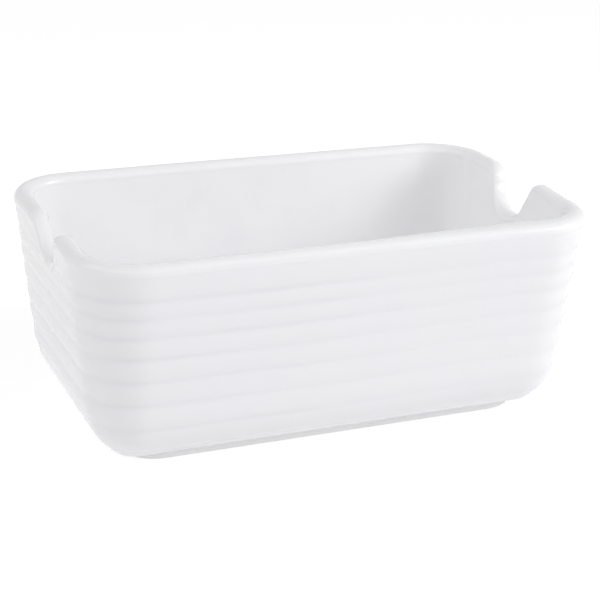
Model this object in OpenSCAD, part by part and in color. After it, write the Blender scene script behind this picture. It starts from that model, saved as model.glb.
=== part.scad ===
// Sugar packet holder: one open glazed ceramic box with a scooped notch in each end wall.
// The frame has X along the length, Y across the width and Z up from the table.
// The origin is the middle of the face that the foot ring stands on.

/* [Body] */
// Overall length, over the rim
length = 127; // [110:1:160]
// Overall width, over the rim
width = 76; // [68:1:100]
// Overall height, from the table to the top of the rim
height = 51; // [44:1:70]
// Radius of the upright corners, over the rim
corner_r = 15.5; // [13:0.5:20]
// Lean of the walls from upright, in degrees, narrowing towards the base
draft = 6; // [2:0.5:9]
// Height of the curved heel that turns the outside wall into the underside
heel_h = 15.5; // [11:0.5:20]

/* [Shell] */
// Thickness of the walls, square to their faces
wall = 4.2; // [3:0.1:5.5]
// Thickness of the floor
floor_t = 4.6; // [3:0.1:7]
// Height of the cove that turns the inside wall into the floor
cove_h = 11; // [6:0.5:16]
// How far the round lip swells past each face of the wall
lip_roll = 0.2; // [0.15:0.05:0.5]

/* [Ribs] */
// Number of soft ribs round the outside
rib_count = 7; // [4:1:9]
// Depth of the grooves between the ribs
rib_depth = 0.4; // [0.2:0.05:0.8]
// Height of the smooth band between the rim and the first groove
plain_band = 8.4; // [6:0.1:14]
// Height of the last groove above the underside
last_groove_h = 3; // [2:0.1:6]
// Growth of each rib over the one above it, as a share of the first rib
rib_growth_share = 0.1; // [0:0.01:0.2]

/* [Notches] */
// Radius of the scoop in each end wall
notch_r = 8.4; // [6:0.1:9]
// Depth of the scoop below the rim
notch_depth = 10.2; // [8.5:0.1:12.4]
// Radius of the bend under each shoulder, where the rim turns into the scoop
shoulder_r = 0.4; // [0.2:0.1:1.2]
// How much thinner each rounded edge is than the one it grows out of: lip, shoulder, scoop
edge_step = 0.06; // [0.04:0.01:0.08]

/* [Foot] */
// Height of the foot ring under the body
foot_h = 1; // [0.6:0.1:2]
// Distance from the outside of the rim in to the foot ring
foot_inset = 12.2; // [11.5:0.1:18]
// Width of the foot ring
foot_w = 3.6; // [2.4:0.1:6]
// Outside radius of the foot ring's corners
foot_corner_r = 10; // [8:0.1:13]
// Radius of the foot ring's rounded edges
foot_edge_r = 0.5; // [0.3:0.1:1]

/* [Hidden] */

// Straight steps that stand for one rib, the heel's last bead, the cove, an arc and the foot's edge
rib_steps = 6;
bead_steps = 5;
cove_steps = 9;
arc_steps = 18;
edge_steps = 4;

// The lip is a round bead on the wall's middle plane, which leans by the draft
lip_r = wall / 2 + lip_roll;
lip_x = corner_r - lip_r;
lip_z = height - lip_r;
lip_wrap = acos(wall / 2 / lip_r);

// Corners of the lip by number and direction, so that one lies at the top and one at the outside
lip_turns = [[0, 180 + lip_wrap - draft], [7, 90], [13, 0], [15, -lip_wrap - draft]];

// Heights of the floor, and of the centres that the heel and the cove turn about
floor_z = foot_h + floor_t;
heel_z = foot_h + heel_h;
cove_z = floor_z + cove_h;

// Heights of the first and last grooves, and the sum of the ribs' relative heights
first_groove_z = height - plain_band;
last_groove_z = foot_h + last_groove_h;
rib_shares = rib_count + rib_growth_share * rib_count * (rib_count - 1) / 2;

// The lip's bead goes on over a shoulder and round the scoop, whose centre is scoop_drop below it
shoulder_bead_r = lip_r - edge_step;
scoop_bead_r = lip_r - 2 * edge_step;
scoop_path_r = notch_r + scoop_bead_r;
scoop_drop = notch_depth - notch_r - lip_r;
shoulder_path_r = shoulder_r + shoulder_bead_r;
shoulder_fall = shoulder_path_r - scoop_drop;
shoulder_y = sqrt(pow(scoop_path_r + shoulder_path_r, 2) - pow(shoulder_fall, 2));
shoulder_dip = asin(shoulder_fall / (scoop_path_r + shoulder_path_r));

// How far the shoulder's bead laps into the lip, and the scoop's into the shoulder's, in degrees
shoulder_lap = 5;
scoop_lap = 2;

// One overrun serves every cut, and the foot ring is rooted this deep in the floor
overrun = wall;
foot_root = floor_t / 2;

// Distance from the corner axis to a face of the wall at height z
// side is 1 for the outside face and -1 for the inside face
function face_x(z, side) = lip_x - (lip_z - z) * tan(draft) + side * wall / 2 / cos(draft);

// The heel and the cove are quarter ellipses about a point on the corner axis,
// each just wide enough to run smoothly into its face of the wall
function turn_sin(z, h, side) = h * tan(draft) / face_x(z, side);
function turn_reach(z, h, side) = face_x(z, side) * sqrt(1 - pow(turn_sin(z, h, side), 2));
function turn_point(angle, z, h, reach) = [reach * cos(angle), z - h * sin(angle)];

// The outside of the body at height z without its ribs, and the direction square to it
heel_reach = turn_reach(heel_z, heel_h, 1);
heel_join_z = heel_z - heel_h * turn_sin(heel_z, heel_h, 1);
function heel_angle(z) = asin((heel_z - z) / heel_h);
function plain_point(z) =
    z >= heel_join_z ? [face_x(z, 1), z] : turn_point(heel_angle(z), heel_z, heel_h, heel_reach);
function plain_normal(z) = z >= heel_join_z ? [cos(draft), -sin(draft)] : heel_normal(heel_angle(z));
function heel_normal(angle) = unit([cos(angle) / heel_reach, -sin(angle) / heel_h]);
function unit(v) = v / norm(v);

// Height of groove k, counted from the top
function groove_z(k) =
    first_groove_z
    - (first_groove_z - last_groove_z) * (k + rib_growth_share * k * (k - 1) / 2) / rib_shares;

// A rib is a shallow swell: at share u of its height it lies this far under the plain wall
function rib_sink(u) = rib_depth * pow(2 * u - 1, 2);
function ribbed_point(z, sink) = plain_point(z) - sink * plain_normal(z);

// Points of a circular arc from angle a to angle b
function arc(centre, r, a, b, steps) =
    [for (i = [0 : steps]) centre + r * [cos(a + (b - a) * i / steps), sin(a + (b - a) * i / steps)]];

// Section of the shell from the corner axis outwards, in five runs:
// the cove, the lip, the ease into the first groove, the ribs and the last bead under the heel
module shell_section() {
    cove_reach = turn_reach(cove_z, cove_h, -1);
    cove_start = asin(turn_sin(cove_z, cove_h, -1));
    bead_start = heel_angle(last_groove_z);
    first_rib = groove_z(0) - groove_z(1);
    cove = [
        for (i = [0 : cove_steps])
            turn_point(90 + (cove_start - 90) * i / cove_steps, cove_z, cove_h, cove_reach)
    ];
    lip = [
        for (i = [0 : lip_turns[3][0]])
            let (angle = lookup(i, lip_turns))
            [lip_x, lip_z] + lip_r * [cos(angle), sin(angle)]
    ];
    ease = [
        for (i = [0 : rib_steps / 2 - 1])
            ribbed_point(first_groove_z + first_rib * (0.5 - i / rib_steps), rib_sink(0.5 + i / rib_steps))
    ];
    ribs = [
        for (k = [0 : rib_count - 1], i = [0 : rib_steps - 1])
            let (u = i / rib_steps)
            ribbed_point(groove_z(k) * (1 - u) + groove_z(k + 1) * u, rib_sink(u))
    ];
    bead = [
        for (i = [0 : bead_steps])
            let (u = i / bead_steps, angle = bead_start + (90 - bead_start) * u)
            turn_point(angle, heel_z, heel_h, heel_reach)
            - rib_depth * pow(1 - u, 2) * heel_normal(angle)
    ];
    polygon(concat(cove, lip, ease, ribs, bead));
}

// Section of the foot ring from its corner axis outwards, flat where it stands on the table
module foot_section() {
    inner_x = foot_corner_r - foot_w;
    outer_edge = arc([foot_corner_r - foot_edge_r, foot_edge_r], foot_edge_r, 0, -90, edge_steps);
    inner_edge = arc([inner_x + foot_edge_r, foot_edge_r], foot_edge_r, -90, -180, edge_steps);
    top = [[inner_x, foot_h + foot_root], [foot_corner_r, foot_h + foot_root]];
    polygon(concat(outer_edge, inner_edge, top));
}

// Carries a section once round a rounded rectangle: turned at the corners, straight between them
// The section's x runs outwards from the corner axes and its y runs up
module carry_round(plan_l, plan_w, plan_r) {
    axis_x = plan_l / 2 - plan_r;
    axis_y = plan_w / 2 - plan_r;
    for (turn = [0, 180]) {
        rotate([0, 0, turn]) {
            translate([axis_x, axis_y, 0]) rotate_extrude(angle = 90) children();
            translate([-axis_x, axis_y, 0]) rotate([0, 0, 90]) rotate_extrude(angle = 90) children();
            translate([axis_x, axis_y, 0]) rotate([90, 0, 0]) linear_extrude(2 * axis_y) children();
            translate([-axis_x, axis_y, 0]) rotate([90, 0, 90]) linear_extrude(2 * axis_x) children();
        }
    }
}

// Places its children at both ends, in the middle plane of the end wall at the centre of the lip
// There x is square to the wall, y runs across it and z runs up it
module at_each_end() {
    for (turn = [0, 180]) {
        rotate([0, 0, turn]) translate([length / 2 - lip_r, 0, lip_z]) rotate([0, draft, 0]) children();
    }
}

// What the scoop takes out of the wall, as far as the middle of its rounded edge
module scoop_cut() {
    right = arc([shoulder_y, -shoulder_path_r], shoulder_path_r, 90, 180 - shoulder_dip, arc_steps);
    scoop = arc([0, -scoop_drop], scoop_path_r, -shoulder_dip, shoulder_dip - 180, arc_steps);
    left = arc([-shoulder_y, -shoulder_path_r], shoulder_path_r, shoulder_dip, 90, arc_steps);
    top = [[-shoulder_y, lip_r + overrun], [shoulder_y, lip_r + overrun]];
    translate([-wall - overrun, 0, 0])
        rotate([90, 0, 90]) linear_extrude(2 * (wall + overrun)) polygon(concat(right, scoop, left, top));
}

// One arc of the rounded edge: a bead bent to path_r about a point in the wall's middle plane
// It runs on past its turn by the angle lap at each end, into the thicker bead it grows out of
module edge_bead(bead_r, centre_y, centre_z, path_r, start, turn, lap) {
    rotate([90, 0, 90]) translate([centre_y, centre_z, 0]) rotate([0, 0, start - lap])
        rotate_extrude(angle = turn + 2 * lap, $fn = 96) translate([path_r, 0]) circle(bead_r, $fn = 48);
}

// The whole rounded edge of one scoop: shoulder, scoop and shoulder
module scoop_edge() {
    turn = 90 - shoulder_dip;
    edge_bead(shoulder_bead_r, shoulder_y, -shoulder_path_r, shoulder_path_r, 90, turn, shoulder_lap);
    edge_bead(scoop_bead_r, 0, -scoop_drop, scoop_path_r, shoulder_dip - 180, 2 * turn, scoop_lap);
    edge_bead(shoulder_bead_r, -shoulder_y, -shoulder_path_r, shoulder_path_r, shoulder_dip, turn,
        shoulder_lap);
}

// The ribbed shell with its floor, before the scoops
module shell() {
    carry_round(length, width, corner_r) shell_section();
    translate([corner_r - length / 2, corner_r - width / 2, foot_h])
        cube([length - 2 * corner_r, width - 2 * corner_r, floor_t]);
    carry_round(length - 2 * foot_inset, width - 2 * foot_inset, foot_corner_r) foot_section();
}

// The one piece that the object is made of
module holder_body() {
    color("whitesmoke") {
        difference() {
            shell();
            at_each_end() scoop_cut();
        }
        at_each_end() scoop_edge();
    }
}

holder_body();
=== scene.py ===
"""Sugar packet holder of glazed white ceramic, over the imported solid. Lengths are in mm up to the mesh."""

import math

import bmesh
import bpy
import numpy as np
from mathutils import Matrix, Vector, noise


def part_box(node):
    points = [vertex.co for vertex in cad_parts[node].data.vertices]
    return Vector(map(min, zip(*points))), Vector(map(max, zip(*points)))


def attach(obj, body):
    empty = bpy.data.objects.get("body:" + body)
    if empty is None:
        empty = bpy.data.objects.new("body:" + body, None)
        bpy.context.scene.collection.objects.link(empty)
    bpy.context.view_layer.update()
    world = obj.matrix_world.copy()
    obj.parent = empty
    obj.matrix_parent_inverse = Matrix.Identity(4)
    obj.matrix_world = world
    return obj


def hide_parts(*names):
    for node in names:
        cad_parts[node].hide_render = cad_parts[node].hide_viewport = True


MM = 0.001
NODE = "holder_body"

# Sizes of the solid, as the part has them
CORNER_R = 15.5
DRAFT = math.radians(6)
HEEL_H = 15.5
WALL = 4.2
FLOOR_T = 4.6
COVE_H = 11.0
LIP_R = WALL / 2 + 0.2
FOOT_H = 1.0
FOOT_INSET = 12.2
FOOT_W = 3.6
FOOT_CORNER_R = 10.0
FOOT_EDGE_R = 0.5

# Rows under the heel: how far out from the corner's axis the heel's own rows end, and the fillet at the foot
HEEL_END = 6.5
FOOT_FILLET = 0.45

# Ribs: depth, number, smooth band under the rim, height of the last groove, growth of each over the one above
RIB_DEPTH = 0.4
RIB_COUNT = 7
PLAIN_BAND = 8.4
LAST_GROOVE_H = 3.0
RIB_GROWTH = 0.1

# Thin line in the bottom of each groove: half width, share of the depth, and where along the walls it is
# clearest, over what length, and how clear it is at least
GROOVE_WIDTH = 0.6
GROOVE_SHARE = 0.5
CLEAR_X = -24.0
CLEAR_WIDTH = 36.0
CLEAR_LEAST = 0.2

# Broad part of the ribs: the share of it on the flat walls, where on X and Y the corners' full ribs begin and
# over what length they come in, and how fast the ribs come in on the way down from the rim
FLAT_SHARE = 0.48
CORNER_FROM = (44, 18)
CORNER_FADE = 8
RIB_ONSET = 20

# Layers of noise, each with depth, size and seed: for the height of the grooves and for how clear they are.
# Each groove takes its clearness from another height of the noise, so many times further apart
SEED_SHIFT = (17.3, 5.1, 9.7)
GROOVE_WANDER = ((0.25, 30, 3), (0.1, 9, 7))
WANDER_STRETCH = (1, 1, 0.2)
CLEAR_WAVES = ((0.5, 42, 5), (0.5, 13, 6))
GROOVE_APART = 7

# Scoop in each end wall: middle, radius, depth and how far the wall reaches to -X and to +X from its middle
# there, then for the shoulder on each side its flare in degrees, its radius and how far the rim rises to it
SCOOPS = {
    1: {
        "middle": 1.7, "radius": 8.2, "depth": 10.2, "half": (2.1, 2.1),
        "front": (30.0, 2.1, 0.45), "back": (12.0, 4.9, 0.0),
    },
    -1: {
        "middle": -3.3, "radius": 8.4, "depth": 7.8, "half": (1.8, 1.6),
        "front": (4.0, 1.8, 0.5), "back": (38.0, 4.4, 0.0),
    },
}

# Edge of the wall: half its thickness at the rim, depth and squareness of its round on the rim and on the two
# edges of a scoop, depth at which its section ends, the bend that stands for none, and the shortest flank of a
# shoulder that gets rows of its own
RIM_HALF = WALL / 2 + 0.08
RIM_ROUND = (2.1, 2.0)
TIGHT_ROUND = (0.8, 3.4)
SOFT_ROUND = (1.9, 2.3)
EDGE_DEPTH = 2.6
NO_BEND = 99.0
LEAST_FLANK = 0.3

# How the edge changes along the lip: the share of a bend that it may be deep and of its depth that its round
# takes, how far the lip has turned where a scoop's edge begins and over how much it comes in, the rounds of
# narrowing and smoothing, and how fast the thinner faces fade away from the lip
BEND_SHARE = 0.8
CAP_SHARE = 0.85
CUT_FROM = 0.93
CUT_FADE = 0.5
NARROW_ROUNDS = 2
DEPTH_ROUNDS = 120
THIN_ROUNDS = 40
FACE_POWER = 5

# The front wall is thicker inside its rim towards the right: how much, where on X that begins and is full, and
# the power by which it grows from the foot of the wall to the rim
SWELL = 2.0
SWELL_FROM = 2.0
SWELL_TO = 30.0
SWELL_POWER = 1.5

# Spacing of the mesh: along the sides, the corners and the scoops, then from row to row. Below LEVEL_Z the rows
# of the outside are level. Points nearer to each other than MERGE_GAP become one
SIDE_STEPS = 56
CORNER_STEPS = 16
STRAIGHT_STEPS = 10
SHOULDER_STEPS = 8
FLANK_STEPS = 3
SCOOP_STEPS = 30
COVE_STEPS = 14
INNER_STEPS = 26
CAP_STEPS = 9
SIDE_OF_CAP_STEPS = 4
LEVEL_Z = 37.6
ABOVE_LEVEL_STEPS = 22
BELOW_LEVEL_STEPS = 58
HEEL_STEPS = 22
HEEL_TO_FOOT_STEPS = 4
FILLET_STEPS = 3
FOOT_EDGE_STEPS = 4
UNDER_SHARES = (0.6, 0.3, 0.0)
MERGE_GAP = 0.01

# Slow hand-made waviness of the whole casting: size, depth and seeds, the height at which it begins and over
# which it comes in. Its upward part fades towards LIFT_END, over LIFT_FADE, but not below LIFT_LEAST
WAVE_SIZE = 38.0
WAVE_DEPTH = 0.22
WAVE_SEEDS = (11, 12, 13)
WAVE_FROM = 1.5
WAVE_FADE = 8
LIFT_END = 46
LIFT_FADE = 10
LIFT_LEAST = 0.35

# Glaze: colours, then the bare foot, size and detail of the clouds, the gloss patches, the orange peel and the
# clay's grain, and how light soaks in. A ramp goes from a low to a high input and from one output to another
GLAZE_OUTSIDE = (0.86, 0.86, 0.875, 1)
# The inside glaze is painted lighter than the outside: painted light for the brighter light inside the well
GLAZE_INSIDE_PAINTED_LIT = (0.955, 0.95, 0.97, 1)
# Greyer, bluer glaze that is mixed in the deeper the outside sinks in its grooves
GLAZE_DEEP_GROOVE = (0.8, 0.8, 0.84, 1)
GLAZE_CLOUD = (0.86, 0.85, 0.9, 1)
BARE_CLAY = (0.82, 0.8, 0.76, 1)
BARE_HEIGHT = 0.25
BARE_FADE = 0.2
BARE_ROUGH = 0.8
CLOUD = (22.0, 3.0)
CLOUD_RAMP = (0.4, 0.75, 0.0, 0.5)
DEEP_GROOVE_RAMP = (0.2, 1.0, 0.0, 0.5)
GLOSS = (9.0, 2.0)
GLOSS_RAMP = (0.3, 0.7, 0.13, 0.2)
PEEL = (1.6, 1.0)
PEEL_DEPTH = 0.012
PEEL_STRENGTH = 0.6
GRAIN = (0.25, 2.0)
GRAIN_DEPTH = 0.04
GLAZE_IOR = 1.5
SOAK = 4.0
SOAK_SHARE = 0.7
SOAK_COLOURS = (1, 1, 1)

# Camera fitted to the photograph: azimuth, elevation and roll, distance, focal length in pixels of the frame
FRAME_PX = 600
SENSOR_MM = 36.0
CAM_AZIMUTH = math.radians(-23.11)
CAM_ELEVATION = math.radians(20.62)
CAM_ROLL = math.radians(1.8)
CAM_DISTANCE = 390.4
CAM_FOCAL_PX = 1589.7
CAM_TARGET = Vector((0.99, -0.42, 24.46))
CAM_NEAR = 10.0
CAM_FAR = 20000.0

# Floor: a white sheet that lets light through, a hair below the foot, and how much it glows as background
FLOOR_REACH = 3000.0
FLOOR_GAP = 0.02
FLOOR_WHITE = (0.38, 0.38, 0.38, 1)
FLOOR_THROUGH = (0.52, 0.52, 0.52, 1)
FLOOR_GLOW = 0.24

# Room light on the object, and the white that the background shows
FILL_LEVEL = 0.635
WHITE_LEVEL = 1.0

# Lamps, which all face the middle of the holder: name, place, width and height, power in watts
MIDDLE = (0, 0, 25)
LAMPS = (
    ("window", (-1020, -1020, 1080), (900, 900), 3.6),
    ("key", (660, -1140, 1140), (1000, 1000), 2.0),
    ("near", (560, -360, 330), (400, 300), 2.1),
    ("left", (-1400, 100, 1250), (900, 900), 3.9),
    ("table", (0, 0, -900), (3000, 3000), 5.5),
)


def smooth(w):
    """Share that eases in and out between 0 and 1."""
    return w * w * (3 - 2 * w)


def quarter(steps, first=0):
    """Angles of a quarter turn in equal steps."""
    return [math.pi / 2 * i / steps for i in range(first, steps + 1)]


def averaged(values):
    """Every column's value averaged with those of its two neighbours."""
    return (np.roll(values, 1) + values + np.roll(values, -1)) / 3


def section_sizes(box_low, box_high):
    """Works out the places that the section and the plan share from the solid's own box."""
    size = (box_high - box_low) / MM
    s = {"length": size.x, "width": size.y, "height": size.z}
    s["axis_x"] = size.x / 2 - CORNER_R
    s["axis_y"] = size.y / 2 - CORNER_R
    s["lip_x"] = CORNER_R - LIP_R
    s["lip_z"] = size.z - LIP_R
    s["floor_z"] = FOOT_H + FLOOR_T
    s["heel_z"] = FOOT_H + HEEL_H
    s["cove_z"] = s["floor_z"] + COVE_H
    for name, z, h, side in (("heel", s["heel_z"], HEEL_H, 1), ("cove", s["cove_z"], COVE_H, -1)):
        face = s["lip_x"] - (s["lip_z"] - z) * math.tan(DRAFT) + side * WALL / 2 / math.cos(DRAFT)
        turn = h * math.tan(DRAFT) / face
        s[name + "_reach"] = face * math.sqrt(1 - turn ** 2)
        s[name + "_start"] = math.asin(turn)
        s[name + "_join_z"] = z - h * turn
    first = size.z - PLAIN_BAND
    last = FOOT_H + LAST_GROOVE_H
    shares = RIB_COUNT + RIB_GROWTH * RIB_COUNT * (RIB_COUNT - 1) / 2
    steps = [k + RIB_GROWTH * k * (k - 1) / 2 for k in range(RIB_COUNT + 1)]
    s["grooves"] = np.array([first - (first - last) * step / shares for step in steps])
    return s


def scoop_path(scoop, axis_y):
    """Runs along the crest of the rim over one end wall, down one side of its scoop and up the other.

    Gives rows of y, height in the wall's plane from the lip's middle, the outward direction in that plane,
    the radius of the bend and how far the cut wall reaches to -X and to +X."""
    rs = scoop["radius"]
    top = LIP_R
    cz = top - scoop["depth"] + rs
    cy = scoop["middle"]
    left, right = scoop["half"]

    def side(name, way):
        """Rows from the end of the wall over the shoulder and down the flank, on the side way points to."""
        flare, bend, lift = scoop[name]
        flare = math.radians(flare)
        drop = bend + cz - top
        flare = max(flare, math.asin(drop / (rs + bend)))
        reach = (rs + bend - math.sin(flare) * drop) / math.cos(flare)
        run = math.sin(flare) * reach - math.cos(flare) * drop
        start = cy + way * reach
        no_flank = run < LEAST_FLANK
        turn_steps = SHOULDER_STEPS + FLANK_STEPS if no_flank else SHOULDER_STEPS
        rows = []
        for i in range(STRAIGHT_STEPS):
            w = i / STRAIGHT_STEPS
            y = way * axis_y + (start - way * axis_y) * w
            rows.append((y, top + lift * w * w, 0, 1, NO_BEND, left, right))
        for i in range(turn_steps):
            t = math.pi / 2 + (flare - math.pi / 2) * i / turn_steps
            y = start - way * bend * math.cos(t)
            z = top + lift * (1 - i / turn_steps if no_flank else 1) - bend + bend * math.sin(t)
            rows.append((y, z, -way * math.cos(t), math.sin(t), bend, left, right))
        for i in range(0 if no_flank else FLANK_STEPS):
            w = 1 - i / FLANK_STEPS
            y = cy + way * (rs * math.cos(flare) + run * w * math.sin(flare))
            z = cz - rs * math.sin(flare) + run * w * math.cos(flare) + lift * w
            rows.append((y, z, -way * math.cos(flare), math.sin(flare), bend, left, right))
        return rows, flare

    front, front_flare = side("front", -1)
    back, back_flare = side("back", 1)
    start, end = math.pi + front_flare, 2 * math.pi - back_flare
    bottom = []
    for i in range(SCOOP_STEPS + 1):
        t = start + (end - start) * i / SCOOP_STEPS
        c, sn = math.cos(t), math.sin(t)
        bottom.append((cy + rs * c, cz + rs * sn, -c, -sn, NO_BEND, left, right))
    return np.array(front + bottom + back[::-1])


def stations(s):
    """Lists the mesh's columns round the plan: foot point, outward direction and place on the lip's path."""
    ax, ay = s["axis_x"], s["axis_y"]
    base, out, lip = [], [], []

    def end_wall(side):
        rows = scoop_path(SCOOPS[side], ay)
        gaps = np.hypot(*np.diff(rows[:, :2], axis=0).T)
        run = np.concatenate([[0], np.cumsum(gaps)])
        foot_y = -ay + 2 * ay * run / run[-1]
        order = range(len(rows)) if side > 0 else range(len(rows) - 1, -1, -1)
        for i in order:
            base.append((side * ax, foot_y[i]))
            out.append((side, 0))
            lip.append(rows[i])

    def corner(cx, cy, start):
        for i in range(1, CORNER_STEPS):
            t = start + math.pi / 2 * i / CORNER_STEPS
            base.append((cx, cy))
            out.append((math.cos(t), math.sin(t)))
            lip.append((0, LIP_R, 0, 1, NO_BEND, RIM_HALF, RIM_HALF))

    def long_wall(side):
        for i in range(SIDE_STEPS + 1):
            base.append((side * ax * (1 - 2 * i / SIDE_STEPS), side * ay))
            out.append((0, side))
            lip.append((0, LIP_R, 0, 1, NO_BEND, RIM_HALF, RIM_HALF))

    end_wall(1)
    corner(ax, ay, 0)
    long_wall(1)
    corner(-ax, ay, math.pi / 2)
    end_wall(-1)
    corner(-ax, -ay, math.pi)
    long_wall(-1)
    corner(ax, -ay, 3 * math.pi / 2)
    return np.array(base, float), np.array(out, float), np.array(lip, float)


def noise_at(points, scale, seed):
    """Smooth noise from -1 to 1 at each point of an array."""
    shift = Vector([seed * step for step in SEED_SHIFT])
    values = [noise.noise(Vector(p) / scale + shift) for p in points.reshape(-1, 3)]
    return np.array(values).reshape(points.shape[:-1])


def add_noise(values, points, layers):
    """Adds layers of noise, each with its depth, size and seed, to the value at each point."""
    for depth, size, seed in layers:
        values = values + depth * noise_at(points, size, seed)
    return values


def rib_sink(s, points):
    """How far the ribbed outside lies under the plain wall at each point."""
    z = add_noise(points[..., 2], points * WANDER_STRETCH, GROOVE_WANDER)
    g = s["grooves"]
    share = np.interp(-z, -g, np.arange(len(g)))
    first = g[0] - g[1]
    share = np.where(z > g[0], np.clip((g[0] - z) / first, -0.5, 0), share)
    below = np.clip((g[-1] - z) / LAST_GROOVE_H, 0, 1)
    broad = 0.5 + 0.5 * np.cos(2 * math.pi * share)
    broad = np.where(z < g[-1], (1 - below) ** 2, broad)
    nearest = g[np.clip(np.round(share), 0, len(g) - 1).astype(int)]
    narrow = np.exp(-((z - nearest) / GROOVE_WIDTH) ** 2)
    corner = [np.clip((np.abs(points[..., k]) - CORNER_FROM[k]) / CORNER_FADE, 0, 1) for k in (0, 1)]
    broad *= FLAT_SHARE + (1 - FLAT_SHARE) * corner[0] * corner[1]
    place = points * (1, 1, 0)
    place[..., 2] = nearest * GROOVE_APART
    clear = CLEAR_LEAST + (1 - CLEAR_LEAST) * np.exp(-((points[..., 0] - CLEAR_X) / CLEAR_WIDTH) ** 2)
    strength = clear * add_noise(1, place, CLEAR_WAVES)
    return RIB_DEPTH * ((1 - GROOVE_SHARE) * broad + GROOVE_SHARE * narrow * strength)


def shell_rings(s):
    """Rings of points from the edge of the flat floor, up the inside, over the lip and down to the heel."""
    base, out, lip = stations(s)
    count = len(base)
    is_end = np.abs(out[:, 0]) == 1
    out3 = np.column_stack([out, np.zeros(count)])
    up = np.array([0, 0, 1.0])
    square = out3 * math.cos(DRAFT) - up * math.sin(DRAFT)
    rise = out3 * math.sin(DRAFT) + up * math.cos(DRAFT)
    across = np.zeros((count, 3))
    across[is_end, 1] = 1
    base3 = np.column_stack([base, np.zeros(count)])
    top3 = base3.copy()
    top3[is_end, 1] = 0
    middle = top3 + out3 * s["lip_x"] + up * s["lip_z"]
    outward = across * lip[:, 2:3] + rise * lip[:, 3:4]
    crest = middle + across * lip[:, 0:1] + rise * lip[:, 1:2]
    # inside, and each ring's inner share, say how far that ring's glaze is painted lighter, as painted light
    # inside the well
    rings, groove, inside = [], [], []

    def add(points, sink=None, inner=0.0):
        rings.append(points)
        groove.append(np.zeros(count) if sink is None else sink)
        inside.append(inner)

    for i in range(COVE_STEPS):
        a = math.pi / 2 + (s["cove_start"] - math.pi / 2) * i / COVE_STEPS
        cove = base3 + out3 * s["cove_reach"] * math.cos(a) + up * (s["cove_z"] - COVE_H * math.sin(a))
        add(cove, inner=1.0)
    depth_at = edge_depth(lip)
    thin_in, thin_out = (thinning(lip, faces_left) for faces_left in (out[:, 0] > 0, out[:, 0] < 0))
    join = crest - outward * depth_at[:, None]
    swell = front_swell(base, out)
    low_in = wall_foot(s, base3, out3, up, s["cove_join_z"], -1)
    for i in range(INNER_STEPS):
        w = i / INNER_STEPS
        thick = WALL / 2 - thin_in * w ** FACE_POWER + swell * w ** SWELL_POWER
        add(low_in * (1 - w) + join * w - square * thick[:, None], inner=1.0)
    section = edge_profile(lip, out, depth_at, thin_in, thin_out)
    for k, (side, depth) in enumerate(section):
        inwards = np.where(side < 0, side * (1 + swell / (WALL / 2)), side)
        # Over the lip the painted lighter inside glaze fades out towards the outside
        inner = max(0, 1 - 2 * k / (len(section) - 1))
        add(crest + square * inwards[:, None] - outward * depth[:, None], inner=smooth(inner))
    low_out = wall_foot(s, base3, out3, up, s["heel_join_z"], 1)
    for w in outer_rows(s, join, low_out):
        thick = WALL / 2 - thin_out * (1 - w) ** FACE_POWER
        plain = low_out * w[:, None] + join * (1 - w[:, None]) + square * thick[:, None]
        sink = rib_sink(s, plain) * np.clip(w * RIB_ONSET, 0, 1)
        add(plain - square * sink[:, None], sink)
    heel_end = math.acos(HEEL_END / s["heel_reach"])
    for i in range(1, HEEL_STEPS + 1):
        a = s["heel_start"] + (heel_end - s["heel_start"]) * i / HEEL_STEPS
        plain = base3 + out3 * s["heel_reach"] * math.cos(a) + up * (s["heel_z"] - HEEL_H * math.sin(a))
        normal = out3 * math.cos(a) / s["heel_reach"] - up * math.sin(a) / HEEL_H
        normal /= np.linalg.norm(normal, axis=1)[:, None]
        sink = rib_sink(s, plain)
        add(plain - normal * sink[:, None], sink)
    return base, out, rings, groove, inside


def outer_rows(s, join, low_out):
    """Rows of the ribbed outside, as shares of the way down each column. Under the scoops they are level."""
    drop = join[:, 2] - low_out[:, 2]
    face = WALL / 2 * math.sin(DRAFT)
    above = np.clip((join[:, 2] - (LEVEL_Z + face)) / drop, 0, 1)
    rows = [above * i / ABOVE_LEVEL_STEPS for i in range(1, ABOVE_LEVEL_STEPS + 1)]
    rows += [above + (1 - above) * i / BELOW_LEVEL_STEPS for i in range(1, BELOW_LEVEL_STEPS + 1)]
    return rows


def front_swell(base, out):
    """How much the inside of the front wall stands out under the rim at every column."""
    w = np.clip((base[:, 0] - SWELL_FROM) / (SWELL_TO - SWELL_FROM), 0, 1)
    return SWELL * smooth(w) * np.clip(-out[:, 1], 0, 1) ** 2


def edge_depth(lip):
    """How far under the crest the edge's section ends at every column: less than the bend of a shoulder."""
    depth = np.minimum(EDGE_DEPTH, BEND_SHARE * lip[:, 4])
    for _ in range(NARROW_ROUNDS):
        depth = np.minimum(depth, np.minimum(np.roll(depth, 1), np.roll(depth, -1)))
    for _ in range(DEPTH_ROUNDS):
        depth = np.minimum(depth, averaged(depth))
    return depth


def cut_share(lip):
    """How far the edge at every column is that of a scoop (1) instead of that of the rim (0)."""
    return smooth(np.clip((CUT_FROM - lip[:, 3]) / CUT_FADE, 0, 1))


def thinning(lip, faces_left):
    """How much thinner than the wall one face is at every column, next to the scoops."""
    thin = (WALL / 2 - np.where(faces_left, lip[:, 5], lip[:, 6])) * cut_share(lip)
    for _ in range(THIN_ROUNDS):
        thin = averaged(thin)
    return thin


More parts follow.
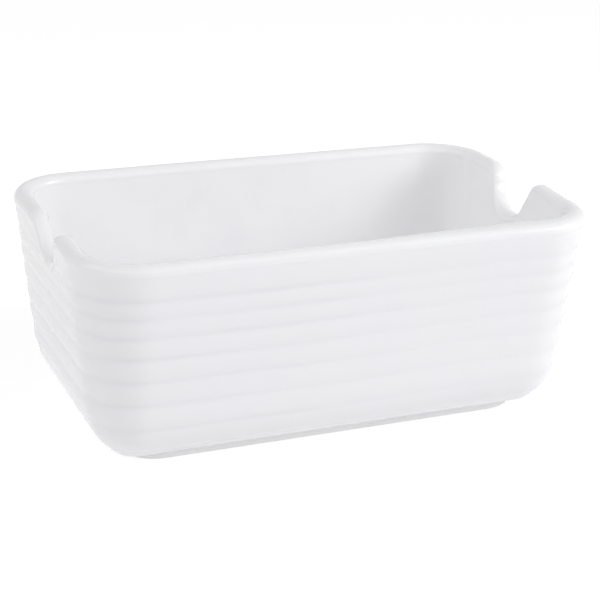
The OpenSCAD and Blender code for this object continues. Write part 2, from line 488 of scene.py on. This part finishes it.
def edge_profile(lip, out, depth_at, thin_in, thin_out):
    """Section of the wall's edge at every column, from inside to outside: offset and depth under the crest.

    The rim is round. Where a scoop cuts through it the edge is flatter, and tighter on the side facing -X."""
    cut = cut_share(lip)

    def half_edge(faces_left, face):
        half = RIM_HALF + (np.where(faces_left, lip[:, 5], lip[:, 6]) - RIM_HALF) * cut
        cap, square = (np.where(faces_left, tight, soft) for tight, soft in zip(TIGHT_ROUND, SOFT_ROUND))
        cap = np.minimum(RIM_ROUND[0] + (cap - RIM_ROUND[0]) * cut, CAP_SHARE * depth_at)
        square = RIM_ROUND[1] + (square - RIM_ROUND[1]) * cut
        steps = []
        for a in quarter(CAP_STEPS):
            steps.append((half * math.sin(a) ** (2 / square), cap * (1 - math.cos(a) ** (2 / square))))
        for i in range(1, SIDE_OF_CAP_STEPS + 1):
            w = i / SIDE_OF_CAP_STEPS
            steps.append((half + (face - half) * w * w * (3 - 2 * w), cap + (depth_at - cap) * w))
        return steps

    inside = half_edge(out[:, 0] > 0, WALL / 2 - thin_in)
    outside = half_edge(out[:, 0] < 0, WALL / 2 - thin_out)
    return [(-x, d) for x, d in inside[:0:-1]] + outside


def wall_foot(s, base3, out3, up, face_z, side):
    """Where the wall's middle plane lies when its inside or outside face is at height face_z."""
    rise = (face_z - s["lip_z"] + side * WALL / 2 * math.sin(DRAFT)) / math.cos(DRAFT)
    return base3 + out3 * (s["lip_x"] + rise * math.sin(DRAFT)) + up * (s["lip_z"] + rise * math.cos(DRAFT))


def heel_height(s, xy):
    """Height of the curved underside over a point of the plan."""
    past_x = np.maximum(np.abs(xy[:, 0]) - s["axis_x"], 0)
    past_y = np.maximum(np.abs(xy[:, 1]) - s["axis_y"], 0)
    away = np.hypot(past_x, past_y)
    return s["heel_z"] - HEEL_H * np.sqrt(1 - (away / s["heel_reach"]) ** 2)


def foot_rings(s, base, out, last_ring):
    """Rings from the heel over the foot ring to the flat underside inside it."""
    foot_x = s["length"] / 2 - FOOT_INSET - FOOT_CORNER_R
    foot_y = s["width"] / 2 - FOOT_INSET - FOOT_CORNER_R
    core = base * (foot_x / s["axis_x"], foot_y / s["axis_y"])
    rings = []

    def ring(reach, z):
        xy = core + out * reach
        return np.column_stack([xy, np.full(len(xy), z) if np.isscalar(z) else z])

    edge = core + out * (FOOT_CORNER_R + FOOT_FILLET)
    for i in range(1, HEEL_TO_FOOT_STEPS + 1):
        xy = last_ring[:, :2] + (edge - last_ring[:, :2]) * i / HEEL_TO_FOOT_STEPS
        rings.append(np.column_stack([xy, heel_height(s, xy)]))
    heel_at_foot = heel_height(s, core + out * FOOT_CORNER_R)
    for a in quarter(FILLET_STEPS, 1):
        reach = FOOT_CORNER_R + FOOT_FILLET * (1 - math.sin(a))
        rings.append(ring(reach, heel_at_foot - FOOT_FILLET * (1 - math.cos(a))))
    for a in quarter(FOOT_EDGE_STEPS):
        rings.append(ring(FOOT_CORNER_R - FOOT_EDGE_R * (1 - math.cos(a)), FOOT_EDGE_R * (1 - math.sin(a))))
    inner = FOOT_CORNER_R - FOOT_W
    rings.append(ring((inner + FOOT_CORNER_R) / 2, 0.0))
    for a in quarter(FOOT_EDGE_STEPS):
        rings.append(ring(inner + FOOT_EDGE_R * (1 - math.sin(a)), FOOT_EDGE_R * (1 - math.cos(a))))
    for a in quarter(FILLET_STEPS, 1):
        rings.append(ring(inner - FOOT_FILLET * (1 - math.cos(a)), FOOT_H - FOOT_FILLET * (1 - math.sin(a))))
    for share in UNDER_SHARES:
        rings.append(ring(inner * share, FOOT_H))
    return rings


def sway(points):
    """Hand-made waviness: a slow noise moves the whole casting a little, but not the face it stands on."""
    move = np.stack([noise_at(points, WAVE_SIZE, seed) for seed in WAVE_SEEDS], axis=-1) * WAVE_DEPTH
    hold = np.clip((points[..., 2] - WAVE_FROM) / WAVE_FADE, 0, 1)
    move *= hold[..., None]
    move[..., 2] *= np.clip((LIFT_END - points[..., 2]) / LIFT_FADE, LIFT_LEAST, 1)
    return points + move


def add_grid(bm, right, left, front, back, layer, value):
    """Fills a flat rectangle whose four sides carry the given rows of points, with one value in a layer."""
    rows = []
    for j in range(len(right)):
        w = j / (len(right) - 1)
        row = []
        for i in range(len(front)):
            u = i / (len(front) - 1)
            point = front[i] * (1 - w) + back[i] * w
            point = np.array([point[0], left[j][1] * (1 - u) + right[j][1] * u, point[2]])
            v = bm.verts.new(point * MM)
            v[layer] = value
            row.append(v)
        rows.append(row)
    for j in range(len(rows) - 1):
        for i in range(len(front) - 1):
            bm.faces.new((rows[j][i], rows[j][i + 1], rows[j + 1][i + 1], rows[j + 1][i]))


def make_body(s):
    """The whole casting as one mesh.

    The flat floor lies on the first ring, but it is merged with it only where their points nearly meet."""
    base, out, rings, groove, inside = shell_rings(s)
    under = foot_rings(s, base, out, rings[-1])
    rings += under
    groove += [np.zeros(len(base))] * len(under)
    inside += [0.0] * len(under)
    points = sway(np.array(rings))
    bm = bmesh.new()
    depth = bm.verts.layers.float.new("groove")
    # The inside layer marks where the glaze is painted lighter, as painted light inside the well
    inner = bm.verts.layers.float.new("inside")
    verts = []
    for ring, sinks, share in zip(points, groove, inside):
        row = []
        for point, sink in zip(ring, sinks):
            v = bm.verts.new(point * MM)
            v[depth] = sink / RIB_DEPTH
            v[inner] = share
            row.append(v)
        verts.append(row)
    count = len(base)
    for above, below in zip(verts, verts[1:]):
        for i in range(count):
            j = (i + 1) % count
            bm.faces.new((above[i], above[j], below[j], below[i]))
    ends = len(scoop_path(SCOOPS[1], s["axis_y"]))
    starts = [0, ends + CORNER_STEPS - 1]
    starts.append(starts[1] + SIDE_STEPS + CORNER_STEPS)
    starts.append(starts[2] + ends + CORNER_STEPS - 1)
    # The floor of the well takes the painted lighter inside glaze, the underside does not
    for ring, share in ((points[0], 1.0), (points[-1], 0.0)):
        right = ring[starts[0]:starts[0] + ends]
        back = ring[starts[1]:starts[1] + SIDE_STEPS + 1][::-1]
        left = ring[starts[2]:starts[2] + ends][::-1]
        front = ring[starts[3]:starts[3] + SIDE_STEPS + 1]
        add_grid(bm, right, left, front, back, inner, share)
    bmesh.ops.remove_doubles(bm, verts=bm.verts, dist=MERGE_GAP * MM)
    bmesh.ops.recalc_face_normals(bm, faces=bm.faces)
    mesh = bpy.data.meshes.new("holder")
    bm.to_mesh(mesh)
    bm.free()
    for face in mesh.polygons:
        face.use_smooth = True
    body = bpy.data.objects.new("holder", mesh)
    bpy.context.scene.collection.objects.link(body)
    return body


def new_material(name):
    """An empty node material, its nodes and its links."""
    material = bpy.data.materials.new(name)
    material.use_nodes = True
    nodes = material.node_tree.nodes
    nodes.clear()
    return material, nodes, material.node_tree.links


def glaze_material():
    """White glaze: painted lighter on the inside for the light the well gets, darker in the grooves, and bare
    on the face of the foot ring.
    """
    material, nodes, links = new_material("white_glaze")

    def node(kind, **sockets):
        made = nodes.new(kind)
        for name, value in sockets.items():
            made.inputs[name.replace("_", " ")].default_value = value
        return made

    def mix(factor, a, b):
        made = nodes.new("ShaderNodeMix")
        made.data_type = "RGBA"
        links.new(factor, made.inputs["Factor"])
        for socket, source in ((made.inputs["A"], a), (made.inputs["B"], b)):
            if isinstance(source, tuple):
                socket.default_value = source
            else:
                links.new(source, socket)
        return made.outputs["Result"]

    def attribute(name):
        made = nodes.new("ShaderNodeAttribute")
        made.attribute_name = name
        return made.outputs["Fac"]

    def ramp(source, low, high, to_low, to_high):
        made = node("ShaderNodeMapRange", From_Min=low, From_Max=high, To_Min=to_low, To_Max=to_high)
        made.interpolation_type = "SMOOTHSTEP"
        links.new(source, made.inputs["Value"])
        return made.outputs["Result"]

    place = nodes.new("ShaderNodeTexCoord").outputs["Object"]
    split = nodes.new("ShaderNodeSeparateXYZ")
    links.new(place, split.inputs[0])

    def cloud(size, detail):
        made = node("ShaderNodeTexNoise", Scale=1 / (size * MM), Detail=detail)
        links.new(place, made.inputs["Vector"])
        return made.outputs["Fac"]

    # Painted light: the inside gets a lighter glaze than the outside
    colour = mix(attribute("inside"), GLAZE_OUTSIDE, GLAZE_INSIDE_PAINTED_LIT)
    # Greyer and bluer where the grooves sink deeper
    colour = mix(ramp(attribute("groove"), *DEEP_GROOVE_RAMP), colour, GLAZE_DEEP_GROOVE)
    colour = mix(ramp(cloud(*CLOUD), *CLOUD_RAMP), colour, GLAZE_CLOUD)
    bare = ramp(split.outputs["Z"], BARE_HEIGHT * MM, (BARE_HEIGHT + BARE_FADE) * MM, 1.0, 0.0)
    colour = mix(bare, colour, BARE_CLAY)
    gloss = ramp(cloud(*GLOSS), *GLOSS_RAMP)
    rough = nodes.new("ShaderNodeMix")
    links.new(bare, rough.inputs["Factor"])
    links.new(gloss, rough.inputs["A"])
    rough.inputs["B"].default_value = BARE_ROUGH
    peel = node("ShaderNodeBump", Strength=PEEL_STRENGTH, Distance=PEEL_DEPTH * MM)
    links.new(cloud(*PEEL), peel.inputs["Height"])
    grain = node("ShaderNodeBump", Distance=GRAIN_DEPTH * MM)
    links.new(cloud(*GRAIN), grain.inputs["Height"])
    links.new(bare, grain.inputs["Strength"])
    links.new(peel.outputs[0], grain.inputs["Normal"])
    shader = node("ShaderNodeBsdfPrincipled", IOR=GLAZE_IOR, Subsurface_Weight=SOAK_SHARE,
                  Subsurface_Radius=SOAK_COLOURS, Subsurface_Scale=SOAK * MM)
    links.new(colour, shader.inputs["Base Color"])
    links.new(rough.outputs["Result"], shader.inputs["Roughness"])
    links.new(grain.outputs[0], shader.inputs["Normal"])
    output = nodes.new("ShaderNodeOutputMaterial")
    links.new(shader.outputs["BSDF"], output.inputs["Surface"])
    return material


def background_rays(nodes, links):
    """Output that is 1 for the rays that show the background and 0 for those that light the object."""
    path = nodes.new("ShaderNodeLightPath")
    total = path.outputs["Is Camera Ray"]
    for name in ("Is Glossy Ray", "Is Transmission Ray"):
        add = nodes.new("ShaderNodeMath")
        add.operation = "ADD"
        add.use_clamp = True
        links.new(total, add.inputs[0])
        links.new(path.outputs[name], add.inputs[1])
        total = add.outputs[0]
    return total


def make_floor():
    """White sheet that lets the lamp under it through and glows for the rays that show the background."""
    mesh = bpy.data.meshes.new("floor")
    r, z = FLOOR_REACH * MM, -FLOOR_GAP * MM
    mesh.from_pydata([(-r, -r, z), (r, -r, z), (r, r, z), (-r, r, z)], [], [(0, 1, 2, 3)])
    floor = bpy.data.objects.new("floor", mesh)
    bpy.context.scene.collection.objects.link(floor)
    material, nodes, links = new_material("pale_floor")
    white = nodes.new("ShaderNodeBsdfDiffuse")
    white.inputs["Color"].default_value = FLOOR_WHITE
    through = nodes.new("ShaderNodeBsdfTranslucent")
    through.inputs["Color"].default_value = FLOOR_THROUGH
    sheet = nodes.new("ShaderNodeAddShader")
    links.new(white.outputs[0], sheet.inputs[0])
    links.new(through.outputs[0], sheet.inputs[1])
    level = nodes.new("ShaderNodeMath")
    level.operation = "MULTIPLY"
    level.inputs[1].default_value = FLOOR_GLOW
    links.new(background_rays(nodes, links), level.inputs[0])
    glow = nodes.new("ShaderNodeEmission")
    links.new(level.outputs[0], glow.inputs["Strength"])
    add = nodes.new("ShaderNodeAddShader")
    links.new(sheet.outputs[0], add.inputs[0])
    links.new(glow.outputs[0], add.inputs[1])
    output = nodes.new("ShaderNodeOutputMaterial")
    links.new(add.outputs[0], output.inputs["Surface"])
    floor.data.materials.append(material)


def make_camera():
    """Camera of the photograph, turned about its own axis by the roll."""
    back = Vector((math.sin(CAM_AZIMUTH) * math.cos(CAM_ELEVATION),
                   -math.cos(CAM_AZIMUTH) * math.cos(CAM_ELEVATION),
                   math.sin(CAM_ELEVATION)))
    right = Vector((0, 0, 1)).cross(back).normalized()
    up = back.cross(right)
    c, sn = math.cos(CAM_ROLL), math.sin(CAM_ROLL)
    right, up = right * c + up * sn, up * c - right * sn
    camera = bpy.data.cameras.new("camera")
    camera.sensor_width = SENSOR_MM
    camera.lens = CAM_FOCAL_PX / FRAME_PX * SENSOR_MM
    camera.clip_start = CAM_NEAR * MM
    camera.clip_end = CAM_FAR * MM
    obj = bpy.data.objects.new("camera", camera)
    place = Matrix((right, up, back)).transposed().to_4x4()
    place.translation = (CAM_TARGET + back * CAM_DISTANCE) * MM
    obj.matrix_world = place
    bpy.context.scene.collection.objects.link(obj)
    bpy.context.scene.camera = obj


def make_world():
    """Even room light, with white for the rays that show the background."""
    world = bpy.data.worlds.new("studio")
    world.use_nodes = True
    nodes, links = world.node_tree.nodes, world.node_tree.links
    nodes.clear()
    fill = nodes.new("ShaderNodeBackground")
    fill.inputs["Strength"].default_value = FILL_LEVEL
    seen = nodes.new("ShaderNodeBackground")
    seen.inputs["Strength"].default_value = WHITE_LEVEL
    mix = nodes.new("ShaderNodeMixShader")
    output = nodes.new("ShaderNodeOutputWorld")
    links.new(background_rays(nodes, links), mix.inputs["Fac"])
    links.new(fill.outputs[0], mix.inputs[1])
    links.new(seen.outputs[0], mix.inputs[2])
    links.new(mix.outputs[0], output.inputs["Surface"])
    bpy.context.scene.world = world


def make_lamp(name, place, size, power):
    """Soft rectangular lamp that faces the middle of the holder."""
    light = bpy.data.lights.new(name, "AREA")
    light.shape = "RECTANGLE"
    light.size, light.size_y = size[0] * MM, size[1] * MM
    light.energy = power
    lamp = bpy.data.objects.new(name, light)
    lamp.location = Vector(place) * MM
    lamp.rotation_euler = (Vector(MIDDLE) - Vector(place)).to_track_quat("-Z", "Y").to_euler()
    bpy.context.scene.collection.objects.link(lamp)


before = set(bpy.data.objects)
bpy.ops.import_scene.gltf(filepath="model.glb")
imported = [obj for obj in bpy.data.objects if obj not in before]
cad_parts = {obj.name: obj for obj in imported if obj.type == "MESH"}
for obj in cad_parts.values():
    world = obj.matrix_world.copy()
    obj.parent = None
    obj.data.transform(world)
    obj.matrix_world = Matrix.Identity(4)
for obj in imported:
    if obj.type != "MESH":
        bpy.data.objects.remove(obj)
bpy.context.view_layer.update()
bpy.context.scene.view_settings.view_transform = "Standard"
make_camera()
sizes = section_sizes(*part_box(NODE))
body = make_body(sizes)
body.data.materials.append(glaze_material())
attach(body, "root")
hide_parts(NODE)
make_floor()
make_world()
for lamp in LAMPS:
    make_lamp(*lamp)
